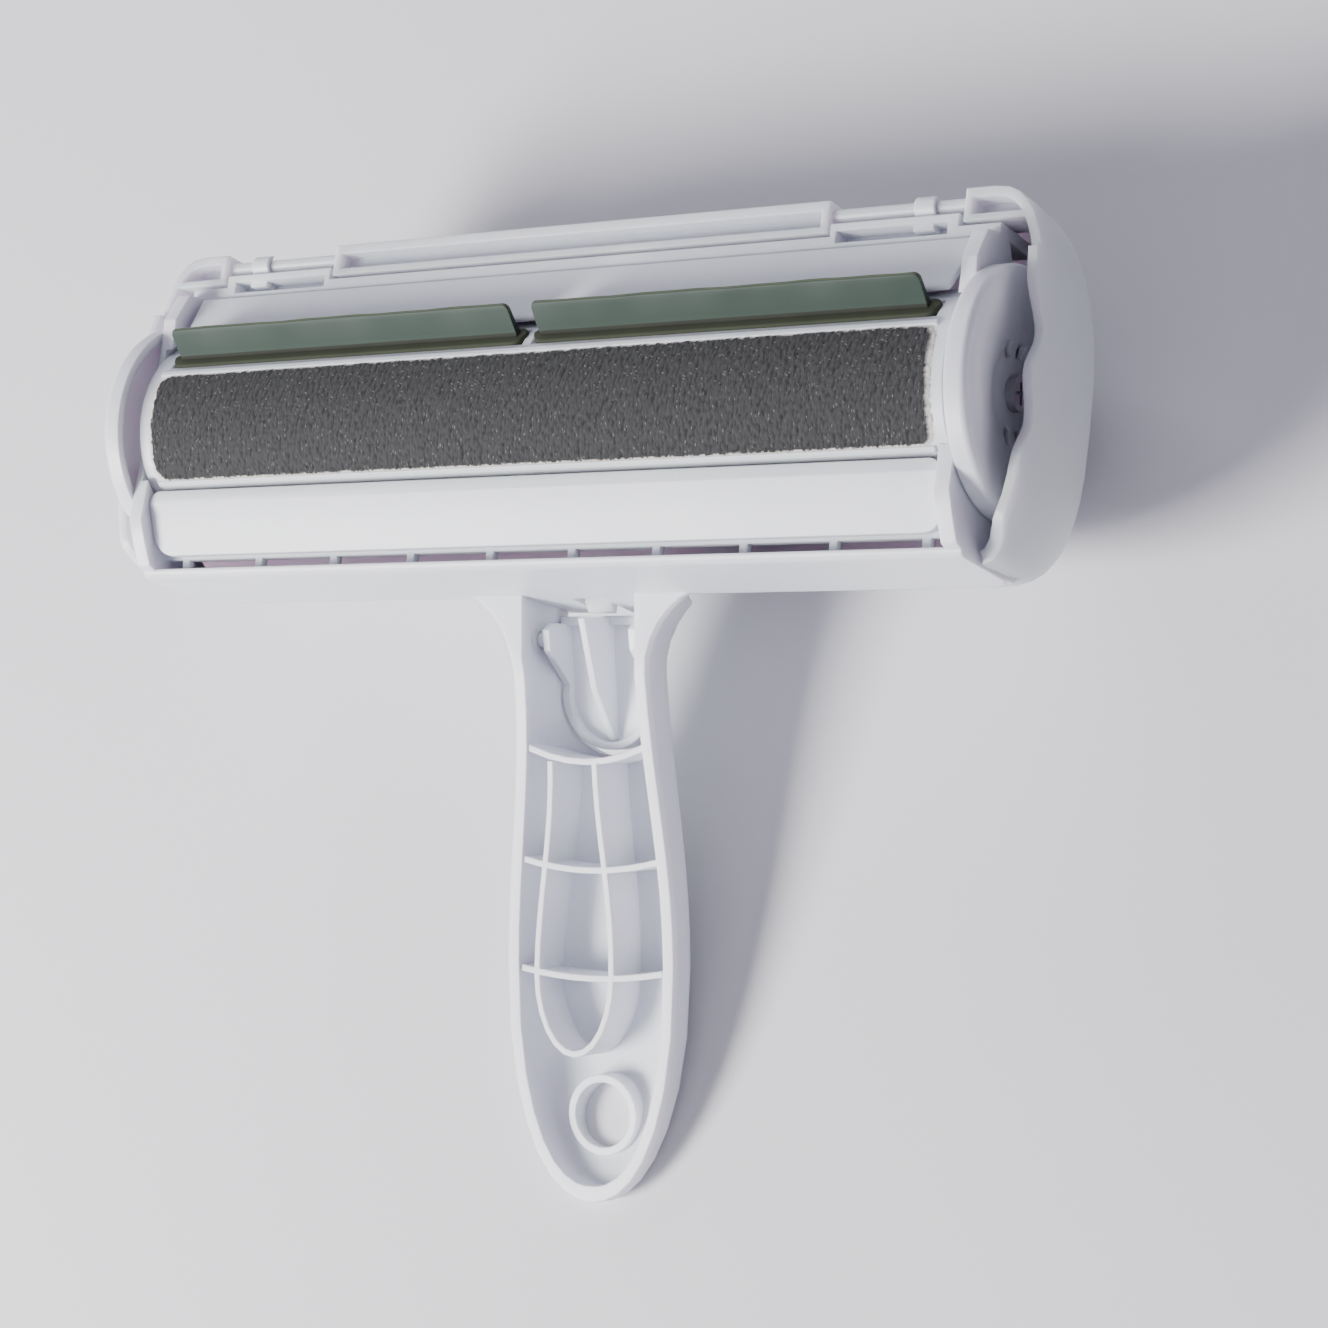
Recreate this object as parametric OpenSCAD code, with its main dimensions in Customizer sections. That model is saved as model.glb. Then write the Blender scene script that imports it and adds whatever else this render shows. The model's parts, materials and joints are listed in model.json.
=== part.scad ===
// Pet hair removal brush, lying on its back with the working side up.
// The handle points toward -Y and leans down from the head to the floor.

/* [Head] */
// Width of the head over both lid ends
head_w = 202; // [176:1:226]
// How far each end wall of the lid bulges out past the corners of the head
end_bulge = 3; // [2:0.1:4]
// Height of the roller axis above the floor
axis_h = 45; // [44:0.5:50]
// Wall of the lid
lid_wall = 1.8; // [1.4:0.1:2.4]
// Wall of the head frame
frame_t = 1.6; // [1.2:0.1:2.2]
// Thickness of the frame's end cheeks
cheek_t = 1.5; // [1.2:0.1:2]
// Width of the cheeks' rim beside the opening
cheek_rim = 3; // [2.4:0.1:3.6]
// Gap between a wheel and the lid's end
end_gap = 0.6; // [0.4:0.1:1.5]
// Gap between the frame and the lid along their seams
seam_gap = 0.4; // [0.3:0.05:0.8]
// Room behind the rear lip, up to the rear wall
rear_room = 9.8; // [9:0.2:12]
// Room in front of the front lip, up to the front beam
front_room = 7; // [6.6:0.2:9]
// Pitch of the ribs in the row of rear windows
window_pitch = 18.4; // [14:0.2:24]

/* [Roller] */
// Radius of the roller's tube
drum_r = 18.7; // [17:0.1:19.5]
// Wall of the tube
drum_wall = 1.8; // [1.4:0.1:2.4]
// Gap between the tube's end and a cheek
drum_gap = 0.3; // [0.2:0.05:0.6]
// Angle the roller rocks through
rock_travel = 20.8; // [16:0.2:22]
// Thickness of the velvet pad
fabric_t = 0.6; // [0.4:0.05:0.8]
// Half of the angle the velvet pad covers
fabric_angle = 32.9; // [28:0.1:33.2]
// Bare tube beyond each end of the pad
fabric_inset = 3.1; // [2:0.1:6]
// Angle from the pad's middle to the rubber blades
blade_angle = 48.2; // [47:0.1:50]
// Height of a standing blade above its foot
blade_h = 6.5; // [4:0.1:7]
// Step of a blade's foot above the tube
foot_h = 0.7; // [0.6:0.05:0.9]
// Gap between a blade's foot and the lips of the frame
lip_gap = 0.5; // [0.4:0.05:0.8]
// Angle from straight up to the lips of the frame
lip_angle = 49.5; // [48:0.1:51]

/* [Wheels] */
// Step of a wheel above the tube
wheel_step = 3.9; // [3.6:0.1:4.2]
// Width of a wheel
wheel_w = 4.1; // [3.8:0.1:5]
// Gap between a wheel and its cheek
wheel_gap = 0.4; // [0.3:0.05:0.8]
// Radius of the wheel's shaft
shaft_r = 5; // [4.5:0.1:5.6]
// Running clearance of turning shafts in their bores
run_fit = 0.06; // [0.03:0.01:0.09]
// Radius of the peg that stops the rocking
peg_r = 1.5; // [1.2:0.1:1.8]

/* [Handle] */
// Lean of the handle below the plane of the opening
tilt = 13; // [12:0.5:14]
// Distance from the roller axis to the handle's tip
handle_len = 148; // [140:1:160]
// Half width of the grip where it is widest
grip_half = 19.4; // [17:0.1:22]
// Half width of the neck where it is slimmest
neck_half = 15.5; // [15.2:0.1:17]
// Width of the handle's rim
rim_w = 3; // [2.4:0.1:3]
// Floor of the open handle
handle_floor = 2; // [1.6:0.1:2.6]
// Thickness of the ribs in the handle
rib_t = 1.2; // [0.8:0.1:2]
// Spacing of the cross ribs
rib_pitch = 20.5; // [16:0.5:22]
// Radius of the hanging hole
hole_r = 6.2; // [4:0.1:7]
// Distance from the handle's tip to the middle of the hanging hole
hole_inset = 16.1; // [15:0.1:20]

/* [Lid hinge and catch] */
// Radius of the lid's hinge rods
rod_r = 1.2; // [1:0.05:1.4]
// Wall of the clips that hold the hinge rods
clip_t = 0.84; // [0.7:0.02:1]
// Half width of the lid's catch
catch_half = 2.8; // [2:0.1:3]
// Half width of the release button
button_half = 10.5; // [9.5:0.1:10.6]
// Gap around the release button
button_gap = 0.4; // [0.3:0.05:0.6]
// Radius of the button's trunnions
trunnion_r = 1.5; // [1.2:0.05:1.7]

/* [Hidden] */
$fn = 64;
end_x = head_w / 2 - end_bulge;
lid_in = end_x - lid_wall;
wheel_out = lid_in - end_gap;
wheel_in = wheel_out - wheel_w;
cheek_out = wheel_in - wheel_gap;
cheek_in = cheek_out - cheek_t;
drum_half = cheek_in - drum_gap;
fabric_half = drum_half - fabric_inset;
mouth_half = cheek_out + seam_gap + 0.2;
foot_r = drum_r + foot_h;
nose_r = foot_r + lip_gap;
nose_y = nose_r * sin(lip_angle);
nose_z = nose_r * cos(lip_angle);
wheel_r = drum_r + wheel_step;
bore_r = drum_r - drum_wall;
rear_in = nose_r + rear_room;
rear_out = rear_in + frame_t;
beam_in = nose_r + front_room;
beam_t = 2.4;
beam_out = beam_in + beam_t;
lid_front = beam_out + 0.8;
hinge_y = lid_front + 3.8;
hinge_z = 4.5;
front_y = hinge_y + 2.3;
ledge_z = 6.1;
ledge_t = 1.6;
rear_top = ledge_z + 2.7;
seam_z = -12;
rail_top = 6.7;
blade_x0 = 2.6;
foot_half_angle = 7.5;
foot_x0 = 1;
foot_x1 = drum_half - 3.8;
foot_t = foot_h + 0.65;
rest_turn = rock_travel / 2;
bar_edge = rear_in - 2.5;
bar_half = cheek_out - cheek_rim - 0.3;
clip_x = [end_x - 24.8, end_x - 20.8];
hinge_x = [end_x - 42, end_x - 14.5];
slot_r = peg_r + 0.3;
peg_orbit = 12.5;

// Handle stations are distances from the roller axis toward the tip.
s_wide = handle_len - 45;
s_waist = 48.3;
flare_r = 17;
s_rim = s_wide + 2;
rim_low = -7.7;
s_floor = 60;
neck_cav = neck_half - 2.7;
hole_s = handle_len - hole_inset;
hole_top = -12;
trunnion_s = 41.3;
trunnion_z = -9.6;
pad_end = 62.4;
press_room = 0.9;
floor_z = -axis_h;
tip_n = 2.25;
tip_steps = [87, 81, 73, 64, 54, 43, 31, 17];
tip_s = s_wide + (handle_len - s_wide) * sin(tip_steps[0]);
handle_reach = tip_s * cos(tilt) + rim_low * sin(tilt);
drum_y = (handle_reach - front_y) / 2;

shell_color = "#D6DAE0";
rubber_color = "#54695E";
velvet_color = "#5B5755";
steel_color = "#A9ADB0";

// Common helpers

function flat(rows) = [for (row = rows) for (item = row) item];
function signed_pow(v, e) = sign(v) * pow(abs(v), e);
function smooth(t) = t * t * (3 - 2 * t);

module at_axis() translate([0, drum_y, axis_h]) children();
module at_roller() at_axis() rotate([rest_turn, 0, 0]) children();
module at_handle() at_axis() rotate([tilt, 0, 0]) children();
module left_side() mirror([1, 0, 0]) children();
module both_sides() {
    children();
    mirror([1, 0, 0]) children();
}

// A flat drawing in Y and Z, drawn out along X between two places.
module between_x(x0, x1) translate([x0, 0, 0]) rotate([90, 0, 90])
    linear_extrude(x1 - x0) children();
module along_x(len) between_x(-len / 2, len / 2) children();

// A round bar along X between two places.
module rod_x(r, x0, x1) translate([x0, 0, 0]) rotate([0, 90, 0]) cylinder(r = r, h = x1 - x0);

// A box from one corner to the other.
module box(a, b) translate(a) cube(b - a);

// A piece of tube around the X axis. Angles run from straight up toward +Y.
module arc_bar(r0, r1, mid, span, x0, x1) rotate([-(mid + span / 2), 0, 0])
    rotate([180, 0, 0]) rotate([0, 90, 0]) rotate_extrude(angle = span)
    translate([r0, x0]) square([r1 - r0, x1 - x0]);

// A skin over a row of rings that all have the same number of points.
module loft(rings) {
    n = len(rings[0]);
    m = len(rings);
    polyhedron(flat(rings), concat(
        [[for (k = [n - 1:-1:0]) k]],
        [for (i = [0:m - 2], k = [0:n - 1]) [i * n + k, i * n + (k + 1) % n, (i + 1) * n + k]],
        [for (i = [0:m - 2], k = [0:n - 1])
            [i * n + (k + 1) % n, (i + 1) * n + (k + 1) % n, (i + 1) * n + k]],
        [[for (k = [0:n - 1]) (m - 1) * n + k]]));
}

// Roller

module drum() color(shell_color) at_roller() {
    difference() {
        rod_x(drum_r, -drum_half, drum_half);
        rod_x(bore_r, -drum_half - 1, drum_half + 1);
        for (side = [-1, 1]) both_sides()
            arc_bar(foot_r - foot_t, foot_r + 1, side * blade_angle, 2 * foot_half_angle,
                foot_x0, foot_x1);
    }
    for (side = [-1, 1])
        arc_bar(drum_r - 0.2, drum_r + 0.5, side * (fabric_angle + 2.3), 3.6,
            -fabric_half - 0.4, fabric_half + 0.4);
}

module fabric_pad() color(velvet_color) at_roller()
    arc_bar(drum_r, drum_r + fabric_t, 0, 2 * fabric_angle, -fabric_half, fabric_half);

module blade_foot(side) arc_bar(foot_r - foot_t, foot_r, side * blade_angle,
    2 * foot_half_angle, foot_x0, foot_x1);

// The standing blade tapers toward its tip.
module blade_front() {
    blade_foot(1);
    rotate([-blade_angle, 0, 0]) between_x(blade_x0, foot_x1 - 2.1)
        polygon([[-0.75, foot_r - 0.3], [0.75, foot_r - 0.3],
            [0.5, foot_r + blade_h], [-0.5, foot_r + blade_h]]);
}

// The rear blade lies folded back along the roller, under the rear lip.
function on_roller(r, a) = [r * sin(a), r * cos(a)];
module blade_rear() {
    blade_foot(-1);
    between_x(blade_x0, foot_x1 - 2.1) polygon(concat(
        [on_roller(foot_r - 0.3, 1.8 - blade_angle), on_roller(foot_r + 1.1, 1.6 - blade_angle)],
        [for (a = [0:3:18]) on_roller(foot_r + 1.7, -a - blade_angle)],
        [for (a = [18:-3:3]) on_roller(foot_r + 0.6, -a - blade_angle)],
        [on_roller(foot_r - 0.3, -2 - blade_angle)]));
}

module blade_front_left() color(rubber_color) at_roller() left_side() blade_front();
module blade_front_right() color(rubber_color) at_roller() blade_front();
module blade_rear_left() color(rubber_color) at_roller() left_side() blade_rear();
module blade_rear_right() color(rubber_color) at_roller() blade_rear();

cap_out = drum_half - 3.3;
boss_out = cheek_in - 2.9;

// The plug in the tube's end takes the wheel's square tenon and its screw.
module drum_cap() difference() {
    union() {
        difference() {
            rod_x(bore_r - 0.05, cap_out - 6, cap_out);
            rod_x(bore_r - 1.7, cap_out - 7, cap_out - 2);
        }
        rod_x(9, cap_out - 10, boss_out);
        translate([0, 0, -peg_orbit]) rod_x(peg_r, cap_out - 1, cheek_out - 0.2);
    }
    translate([cap_out - 5.7, -3.1, -3.1]) cube([20, 6.2, 6.2]);
    rod_x(1.35, cap_out - 11, cap_out);
}

module drum_cap_left() color(shell_color) at_roller() left_side() drum_cap();
module drum_cap_right() color(shell_color) at_roller() drum_cap();

// The wheel is dished outside and hollow behind its tread.
module wheel() difference() {
    union() {
        rotate([0, 90, 0]) rotate_extrude($fn = 96) {
            polygon([[0, boss_out], [shaft_r, boss_out], [shaft_r, wheel_in + 0.5],
                [9, wheel_in + 0.8], [wheel_r - 1.6, wheel_out - 1.4], [wheel_r - 1.6, wheel_in],
                [wheel_r, wheel_in], [wheel_r, wheel_out - 1.3], [wheel_r - 1.3, wheel_out - 1.3],
                [wheel_r - 1.3, wheel_out], [wheel_r - 2.2, wheel_out], [9, wheel_out - 1.9],
                [8, wheel_out - 2.4], [0, wheel_out - 2.4]]);
            translate([wheel_r - 1.3, wheel_out - 1.3]) circle(1.3);
        }
        translate([cap_out - 5.5, -3, -3]) cube([boss_out - cap_out + 5.6, 6, 6]);
    }
    rod_x(1.5, cap_out - 6, wheel_out);
    for (side = [0, 180], step = [-16.5, 16.5]) rotate([side + step, 0, 0])
        translate([wheel_in, 6.5, -1.1]) cube([5, 3, 2.2]);
}

module wheel_left() color(shell_color) at_roller() left_side() wheel();
module wheel_right() color(shell_color) at_roller() wheel();

module wheel_screw() difference() {
    union() {
        rod_x(1.3, cap_out - 9, wheel_out - 2.3);
        rod_x(3.2, wheel_out - 2.4, wheel_out - 0.8);
    }
    for (turn = [0, 90]) rotate([turn, 0, 0])
        translate([wheel_out - 1.7, -2, -0.35]) cube([2, 4, 0.7]);
}

module wheel_screw_left() color(steel_color) at_roller() left_side() wheel_screw();
module wheel_screw_right() color(steel_color) at_roller() wheel_screw();

// Smooth strips with the lips of the opening

module rear_bar() color(shell_color) at_axis() intersection() {
    mirror([0, 1, 0]) along_x(2 * bar_half) polygon([[nose_y, nose_z], [nose_y, nose_z + 0.7],
        [nose_y + 2.5, nose_z + 0.85], [bar_edge, ledge_z + 3.4], [bar_edge, ledge_z + 2.2],
        [bar_edge - 1.2, ledge_z + 1.9], [bar_edge - 1.2, ledge_z], [bar_edge - 2.8, ledge_z],
        [bar_edge - 2.8, ledge_z + 2.8], [nose_y + 3.1, nose_z - 1.35],
        [nose_y + 2.1, nose_z - 1]]);
    linear_extrude(30) {
        translate([-bar_half, -bar_edge + 4]) square([2 * bar_half, 20]);
        translate([-bar_half + 4, -bar_edge]) square([2 * bar_half - 8, 6]);
        for (side = [-1, 1]) translate([side * (bar_half - 4), -bar_edge + 4]) circle(4);
    }
}

panel_edge = beam_in - 0.3;
panel_half = bar_half - 0.3;

module front_panel() color(shell_color) at_axis() intersection() {
    along_x(2 * panel_half) polygon([[nose_y, nose_z], [nose_y + 0.1, nose_z + 0.6],
        [nose_y + 1.3, nose_z + 0.5], [panel_edge, ledge_z + 1.8], [panel_edge, ledge_z],
        [panel_edge - 1.6, ledge_z], [panel_edge - 1.6, ledge_z + 1.1],
        [nose_y + 1.9, nose_z - 1.3], [nose_y + 1.5, nose_z - 1.2]]);
    linear_extrude(30) polygon([[-panel_half, panel_edge + 1], [panel_half, panel_edge + 1],
        [panel_half - 0.2, panel_edge - 1], [panel_half - 1.9, nose_y - 1],
        [1.9 - panel_half, nose_y - 1], [0.2 - panel_half, panel_edge - 1]]);
}

// Lid: a dome that closes around the wheels at both ends

dome_mid = 2.2;
dome_run = 35;
dome_steps = 13;
function fall(t, n) = pow(1 - pow(t, n), 1 / n);

// A level of the dome, t of the way down. Its two ends are half ovals, rounder toward the floor.
function lid_ring(t, z, inset) = let (
    half = head_w / 2 - dome_run + (dome_run - inset) * fall(t, 2.2),
    front = (front_y - dome_mid - inset) * fall(t, 2.6),
    rear = (rear_out + dome_mid - inset) * fall(t, 2.4),
    extra = 14 * pow(t, 3) - inset)
    [for (side = [1, -1], k = [-10:10]) let (
        a = -9 * k * side,
        n = a > 0 ? 2.6 : 3.2,
        run = (a > 0 ? 12 : 14) + extra)
        [side * (half - run * (1 - pow(abs(cos(a)), 2 / n))),
            dome_mid + (a > 0 ? front : rear) * signed_pow(sin(a), 2 / n), z]];
module lid_dome(inset) loft(concat(
    [for (k = [dome_steps:-1:0]) let (t = pow(sin(88 * k / dome_steps), 0.83))
        lid_ring(t, (inset - axis_h) * t, inset)],
    [lid_ring(0, 12 + inset, inset)]));

// The free edge of the lid's end walls rises and dips in a wave.
wave = [[-rear_out, 1.6], [-23.5, 8.6], [-14, 9], [-6.9, 6.4], [1.5, 8.6], [8.6, 5.6],
    [18, 9.4], [25, 8.3], [30, rail_top]];
wave_pts = [for (i = [0:len(wave) - 2], k = [0:5]) let (t = k / 6)
    [wave[i].x + (wave[i + 1].x - wave[i].x) * t,
        wave[i].y + (wave[i + 1].y - wave[i].y) * smooth(t)]];
module wave_cut() between_x(mouth_half - 0.1, head_w) polygon(concat(
    [[-60, 30], [-60, wave[0].y]], wave_pts, [[30, rail_top], [60, rail_top], [60, 30]]));

// The cells along the front wall, which also hold the ends of the hinge rods
module front_cell(x0, x1, wall, depth) difference() {
    box([x0, lid_front, -1], [x1, front_y, rail_top + 1]);
    box([x0 + wall, lid_front + 1.2, rail_top - depth], [x1 - wall, front_y + 1, rail_top + 2]);
}

module catch_arm() along_x(2 * catch_half) {
    polygon([[-28.2, -17], [-26.4, -17], [-26, -21], [-24.4, -27.5], [-26, -27.5], [-28.2, -22]]);
    polygon([[-28, -16.2], [-29.5, -16.2], [-32.6, -19.2], [-32.6, -20.4], [-28, -20.4]]);
}

module lid() color(shell_color) at_axis() {
    difference() {
        lid_dome(0);
        difference() {
            lid_dome(lid_wall);
            front_cell(-hinge_x[0], hinge_x[0], 1.5, 3.2);
            both_sides() front_cell(hinge_x[1], head_w, 1.3, 4);
        }
        box([-mouth_half, -60, seam_z - seam_gap + 0.1], [mouth_half, lid_front, 30]);
        box([-head_w, beam_in - 3, rail_top], [head_w, 60, 30]);
        box([-neck_half - 0.9, -60, -25.5], [neck_half + 0.9, -20, 0]);
        both_sides() {
            box([hinge_x[0], lid_front - 2, 0.6], [hinge_x[1], 60, 30]);
            wave_cut();
        }
    }
    both_sides() translate([0, hinge_y, hinge_z])
        rod_x(rod_r, hinge_x[0] - 0.5, hinge_x[1] + 0.5);
    catch_arm();
}

// Housing: head frame, neck and handle in one moulding

function handle_half(s) = s > s_wide
    ? grip_half * fall((s - s_wide) / (handle_len - s_wide), tip_n)
    : s > s_waist
    ? neck_half + (grip_half - neck_half) * (0.5 + 0.5 * cos(180 * (s_wide - s) / (s_wide - s_waist)))
    : neck_half + flare_r - sqrt(flare_r * flare_r - pow(s_waist - s, 2));
function rim_z(s) = rim_low + pow(max(0, s_rim - max(s, s_rim - 60)), 2) / 838;
function back_z(s) = s > s_rim
    ? rim_low - 12 + 7.3 * pow((s - s_rim) / (handle_len - s_rim), 2)
    : rim_z(s) - 12 - 2 * min(1, (s_rim - s) / 60);
function handle_ring(s, half, top, tuck, floor_up) = let (
    low = back_z(s) + floor_up,
    mid = rim_z(s) - 0.8)
    concat([[tuck - half, -s, top]],
        [for (k = [0:18]) let (a = 10 * k)
            [-half * signed_pow(cos(a), 2 / 2.9), -s, mid - (mid - low) * pow(abs(sin(a)), 2 / 2.9)]],
        [[half - tuck, -s, top]]);

// Stations lie closer together around the tip.
function stations(tip) = concat([for (a = tip_steps) s_wide + (tip - s_wide) * sin(a)],
    [for (k = [0:8]) s_wide + (s_waist - s_wide) * k / 8],
    [for (a = [11.5:11.5:80.5]) s_waist - flare_r * sin(a)]);

module handle_outer() loft([for (s = stations(handle_len))
    handle_ring(s, handle_half(s), rim_z(s), 0.8, 0)]);

function cavity_half(s, wall) = let (reach = handle_len - wall)
    s > s_wide ? (grip_half - wall) * fall(min(1, (s - s_wide) / (reach - s_wide)), tip_n)
    : s < s_floor ? min(neck_cav, handle_half(s) - wall) : handle_half(s) - wall;
module handle_cavity(wall, over, floor_up) loft([for (s = stations(handle_len - wall))
    handle_ring(s, cavity_half(s, wall), rim_z(s) + over, 0, floor_up)]);

// Two long ribs run down the grip and close in a bow.
function bow_half(s) = 8.5 - 3.5 * (0.5 - 0.5 * cos(180 * (s_rim - s) / (2 * rib_pitch)));
function bow_mid(s) = -4 + 0.9 * (s_rim - s) / (2 * rib_pitch);
module bow(extra) polygon(concat(
    [for (k = [0:8]) let (s = s_rim - (8 - k) * rib_pitch / 4)
        [bow_mid(s) + bow_half(s) + extra, -s]],
    [for (a = [15:15:165]) [-4 + (8.5 + extra) * cos(a), -s_rim - (15.3 + extra) * sin(a)]],
    [for (k = [8:-1:0]) let (s = s_rim - (8 - k) * rib_pitch / 4)
        [bow_mid(s) - bow_half(s) - extra, -s]]));
module rib_arc(s, r) polygon(concat(
    [for (k = [-4:4]) let (a = k * asin(16 / r) / 4)
        [(r + rib_t / 2) * sin(a), r - s - (r + rib_t / 2) * cos(a)]],
    [for (k = [4:-1:-4]) let (a = k * asin(16 / r) / 4)
        [(r - rib_t / 2) * sin(a), r - s - (r - rib_t / 2) * cos(a)]]));
module rib_plan() difference() {
    union() {
        rib_arc(s_rim + 0.7, 86);
        rib_arc(s_rim + 0.7 - rib_pitch, 62.7);
        rib_arc(s_rim + 0.6 - 2 * rib_pitch, 32.8);
        difference() {
            bow(rib_t / 2);
            bow(-rib_t / 2);
            translate([-20, -s_rim + 2 * rib_pitch - 0.5]) square([40, 20]);
        }
    }
    button_hole(0.2);
}

module button_plan(grow) {
    translate([0, -pad_end + button_half]) circle(button_half + grow);
    translate([-button_half - grow, -pad_end + button_half])
        square([2 * (button_half + grow), 40]);
}

// The hole for the button leaves room for its end to swing out as it is pressed.
module button_hole(extra) {
    button_plan(button_gap + extra);
    translate([0, -press_room]) button_plan(button_gap + extra);
}

module handle() difference() {
    union() {
        difference() {
            handle_outer();
            difference() {
                handle_cavity(rim_w, 8, handle_floor);
                rotate([-tilt, 0, 0]) box([-40, -rear_out, -60], [40, 60, 60]);
            }
        }
        intersection() {
            translate([0, 0, -24]) linear_extrude(30) rib_plan();
            handle_cavity(rim_w - 0.8, -0.4, handle_floor - 0.5);
        }
        translate([0, -hole_s, hole_top - 5]) cylinder(r = hole_r + 1.5, h = 5);
        both_sides() translate([0, -trunnion_s, trunnion_z]) rod_x(3, neck_cav - 0.4, neck_half - 1);
    }
    translate([0, -hole_s, -40]) cylinder(r = hole_r, h = 60);
    both_sides() translate([0, -trunnion_s, trunnion_z])
        rod_x(trunnion_r + run_fit, neck_cav - 2, neck_half - 0.8);
    difference() {
        translate([0, 0, -30]) linear_extrude(20) button_hole(0);
        rotate([-tilt, 0, 0]) box([-40, -rear_out, -60], [40, 60, 60]);
    }
    rotate([-tilt, 0, 0]) {
        box([-60, -rear_in, -60], [60, 60, 60]);
        box([-60, -200, floor_z - 60], [60, 60, floor_z]);
        both_sides() box([neck_half + 0.5, -rear_out - seam_gap, -60], [60, 0, seam_z + 0.3]);
    }
}

module cheek_shape() {
    intersection() {
        circle(nose_r + 1.6, $fn = 96);
        translate([-40, -40]) square([80, 42]);
    }
    polygon([[-rear_out + 0.4, seam_z], [-rear_in, seam_z], [-nose_r - 1.6, 0], [0, 0],
        [nose_r + 1.5, -3], [beam_in - 2.4, 1.6], [beam_in - 0.6, 2.4], [beam_in + 0.4, 4],
        [beam_in + 0.4, rail_top + 0.4], [beam_in - 0.4, 11.2], [20.5, nose_z + 1.3],
        [17.5, nose_z + 1], [11.8, nose_z + 1.1], [-10.2, nose_z + 2], [-15.8, nose_z + 2.1],
        [-21.4, nose_z + 2.3], [-25.8, nose_z], [-rear_in + 0.2, 10.6], [-rear_out + 0.4, 6]]);
}

module cheek() difference() {
    union() {
        between_x(cheek_in, cheek_out) cheek_shape();
        between_x(cheek_out - cheek_rim, cheek_in + 0.1) difference() {
            cheek_shape();
            circle(nose_r, $fn = 96);
            translate([-nose_r, -40]) square([2 * nose_r, 40]);
        }
        rod_x(8, boss_out + 0.3, cheek_in + 0.5);
    }
    rod_x(shaft_r + run_fit, cheek_in - 5, cheek_out + 1);
    arc_bar(peg_orbit - slot_r, peg_orbit + slot_r, 180, rock_travel + 1, cheek_in - 1, cheek_out + 1);
    for (side = [-1, 1]) rotate([side * (rest_turn + 0.5), 0, 0])
        translate([0, 0, -peg_orbit]) rod_x(slot_r - 0.02, cheek_in - 1, cheek_out + 1);
}

// A clip stands off the beam and holds a hinge rod, open to the front.
module hinge_clip() difference() {
    union() {
        translate([0, hinge_y, hinge_z]) rod_x(rod_r + run_fit + clip_t, clip_x[0], clip_x[1]);
        box([clip_x[0], beam_out, hinge_z - 1.6], [clip_x[1], hinge_y - rod_r, hinge_z + 1.4]);
    }
    translate([0, hinge_y, hinge_z]) rod_x(rod_r + run_fit, clip_x[0] - 1, clip_x[1] + 1);
    translate([0, hinge_y, hinge_z]) rotate([-20, 0, 0])
        box([clip_x[0] - 1, 0.6, -4], [clip_x[1] + 1, 4, 1]);
}

module front_beam() difference() {
    union() {
        box([-cheek_out, beam_in, -6], [cheek_out, beam_out, rail_top]);
        box([-cheek_in - 0.2, beam_in - 3.7, ledge_z - ledge_t],
            [cheek_in + 0.2, beam_in + 0.2, ledge_z]);
        both_sides() box([hinge_x[0] + 0.7, beam_in, -2], [hinge_x[1] - 0.9, beam_out + 2.4, rail_top]);
    }
    both_sides() box([hinge_x[0] + 1.9, beam_in + 1.1, rail_top - 4],
        [hinge_x[1] - 3, beam_out + 1, rail_top + 1]);
}

module rear_rim() {
    intersection() {
        union() {
            box([-cheek_out, -rear_out, seam_z], [cheek_out, -rear_in, rear_top - frame_t]);
            intersection() {
                translate([0, -rear_in, rear_top - frame_t]) rod_x(frame_t, -cheek_out, cheek_out);
                box([-cheek_out, -rear_out, 0], [cheek_out, -rear_in, 20]);
            }
        }
        rotate([90, 0, 0]) linear_extrude(80, center = true) {
            translate([-cheek_out, seam_z + 5]) square([2 * cheek_out, 40]);
            translate([-cheek_out + 5, seam_z]) square([2 * cheek_out - 10, 40]);
            for (side = [-1, 1]) translate([side * (cheek_out - 5), seam_z + 5]) circle(5);
        }
    }
    box([-cheek_in - 0.2, -bar_edge, ledge_z - ledge_t], [cheek_in + 0.2, -bar_edge + 4, ledge_z]);
    for (k = [-5:4]) translate([(k + 0.5) * window_pitch, 0, 0])
        if (abs(k + 0.5) * window_pitch < cheek_in - 2)
            box([-0.8, -rear_in - 0.2, ledge_z - ledge_t], [0.8, -bar_edge + 0.2, ledge_z]);
}

module housing() color(shell_color) {
    at_axis() difference() {
        union() {
            both_sides() cheek();
            both_sides() hinge_clip();
            front_beam();
            rear_rim();
            rotate([tilt, 0, 0]) handle();
        }
        box([-catch_half - 0.7, -rear_out - 1.8, -60], [catch_half + 0.7, -rear_in + 1, -14]);
    }
}

// Release button: a rocking lever whose pad lies in the back of the neck

module button_side() between_x(button_half - 1.5, button_half)
    polygon([[-52, -16.5], [-43.5, -7.6], [-39.5, -7], [-38.2, -9], [-38.2, -17.2], [-44, -17.6]]);

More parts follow.
